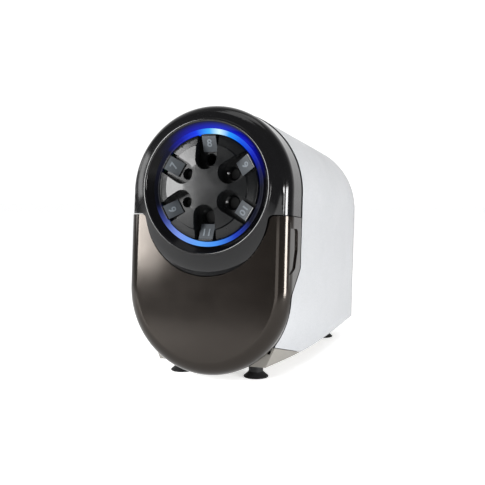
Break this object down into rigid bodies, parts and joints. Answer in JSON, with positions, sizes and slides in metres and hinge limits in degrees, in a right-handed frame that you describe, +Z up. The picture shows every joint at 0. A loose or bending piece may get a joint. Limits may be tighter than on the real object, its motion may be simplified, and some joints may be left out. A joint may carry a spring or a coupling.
{
  "type": "electric pencil sharpener",
  "caption": "Electric pencil sharpener with a round selector dial in a lit ring, a pull-out shavings receptacle and a silver housing on suction feet.",
  "frame": {"origin": "on the resting surface, under the middle of the whole object", "axes": "+Z up; +Y rearward, from the dial to the cord gland; +X to the right of someone facing the dial"},
  "size_m": [0.152, 0.2856, 0.2409],
  "materials": {
    "gloss_black": "moulded ABS, high gloss black",
    "smoke": "dark smoke-brown polycarbonate, high gloss",
    "silver": "silver-painted ABS, satin",
    "base_grey": "grey ABS, fine texture",
    "cover_grey": "dark grey ABS, fine texture",
    "dial_black": "charcoal ABS, semi-gloss",
    "inner_black": "black ABS, matt",
    "light_guide": "frosted acrylic, lit blue",
    "feet": "black rubber",
    "steel": "bright zinc-plated steel",
    "cutter_steel": "hardened ground steel",
    "carrier_alloy": "die-cast alloy",
    "bronze": "sintered bronze",
    "gear_plastic": "natural acetal",
    "board": "glass-epoxy circuit board",
    "winding": "enamelled copper winding and laminations"
  },
  "bodies": {
    "root": {"body_shell": "silver", "base_plate": "base_grey", "rear_cover": "cover_grey", "cord_gland": "inner_black", "front_bezel": "gloss_black", "light_ring": "light_guide", "led_board": "board", "ring_leds": "light_guide", "front_chassis": "inner_black", "drawer_guide_right": "inner_black", "drawer_guide_left": "inner_black", "reed_switch": "inner_black", "dial_axle": "steel", "dial_axle_clip": "steel", "detent_spring": "steel", "pencil_guide": "inner_black", "lever_bracket": "steel", "start_switch": "inner_black", "cutter_housing": "inner_black", "ring_gear": "carrier_alloy", "carrier_front_bush": "bronze", "carrier_middle_bush": "bronze", "carrier_rear_bush": "bronze", "idler_pin": "steel", "gearbox_front_plate": "steel", "gearbox_rear_plate": "steel", "frame_spacers": "steel", "frame_screws": "steel", "motor_can": "steel", "motor_end_cap": "inner_black", "transformer": "winding", "control_board": "board", "board_posts": "gear_plastic", "board_parts": "inner_black", "terminal_block": "gear_plastic", "cover_screws": "steel", "bezel_screws": "steel", "base_screws": "steel", "foot_front_right": "feet", "foot_front_left": "feet", "foot_rear_right": "feet", "foot_rear_left": "feet"},
    "dial": {"selector_dial": "dial_black"},
    "receptacle": {"receptacle_front": "smoke", "receptacle_bin": "inner_black", "receptacle_screws": "steel", "interlock_magnet": "steel"},
    "rotor": {"motor_core": "winding", "motor_shaft": "steel", "motor_pinion": "bronze", "fan_wheel": "inner_black"},
    "idler": {"idler_gear": "gear_plastic"},
    "carrier": {"cutter_carrier": "carrier_alloy", "cutter_pin": "steel", "carrier_gear": "gear_plastic"},
    "cutter": {"helical_cutter": "cutter_steel", "cutter_planet_gear": "cutter_steel"},
    "lever": {"start_lever": "gear_plastic"}
  },
  "joints": [
    {"name": "dial_turn", "type": "hinge", "parent": "root", "child": "dial", "pos_m": [0, -0.12452, 0.16901], "axis": [0, 0.9962, -0.0872], "continuous": true},
    {"name": "receptacle_slide", "type": "slide", "parent": "root", "child": "receptacle", "axis": [0, -0.9962, 0.0872], "range_m": [0, 0.085]},
    {"name": "rotor_spin", "type": "hinge", "parent": "root", "child": "rotor", "pos_m": [0.00612, -0.02533, 0.14392], "axis": [0, 0.9962, -0.0872], "continuous": true},
    {"name": "idler_spin", "type": "hinge", "parent": "root", "child": "idler", "pos_m": [-0.01986, -0.02403, 0.15886], "axis": [0, 0.9962, -0.0872], "continuous": true},
    {"name": "carrier_spin", "type": "hinge", "parent": "root", "child": "carrier", "pos_m": [0, -0.06756, 0.18912], "axis": [0, 0.9962, -0.0872], "continuous": true},
    {"name": "cutter_spin", "type": "hinge", "parent": "carrier", "child": "cutter", "pos_m": [0, -0.07372, 0.20472], "axis": [0, 0.9613, -0.2756], "continuous": true},
    {"name": "start_lever_swing", "type": "hinge", "parent": "root", "child": "lever", "pos_m": [0.016, -0.10342, 0.19226], "axis": [0, -0.0872, -0.9962], "range_deg": [0, 12], "stiffness_Nm_per_rad": 0.02, "springref_deg": -17.19}
  ],
  "couplings": [
    {"joint": "idler_spin", "follows": "rotor_spin", "ratio": -0.25},
    {"joint": "carrier_spin", "follows": "rotor_spin", "ratio": 0.055556},
    {"joint": "cutter_spin", "follows": "rotor_spin", "ratio": -0.22222}
  ]
}
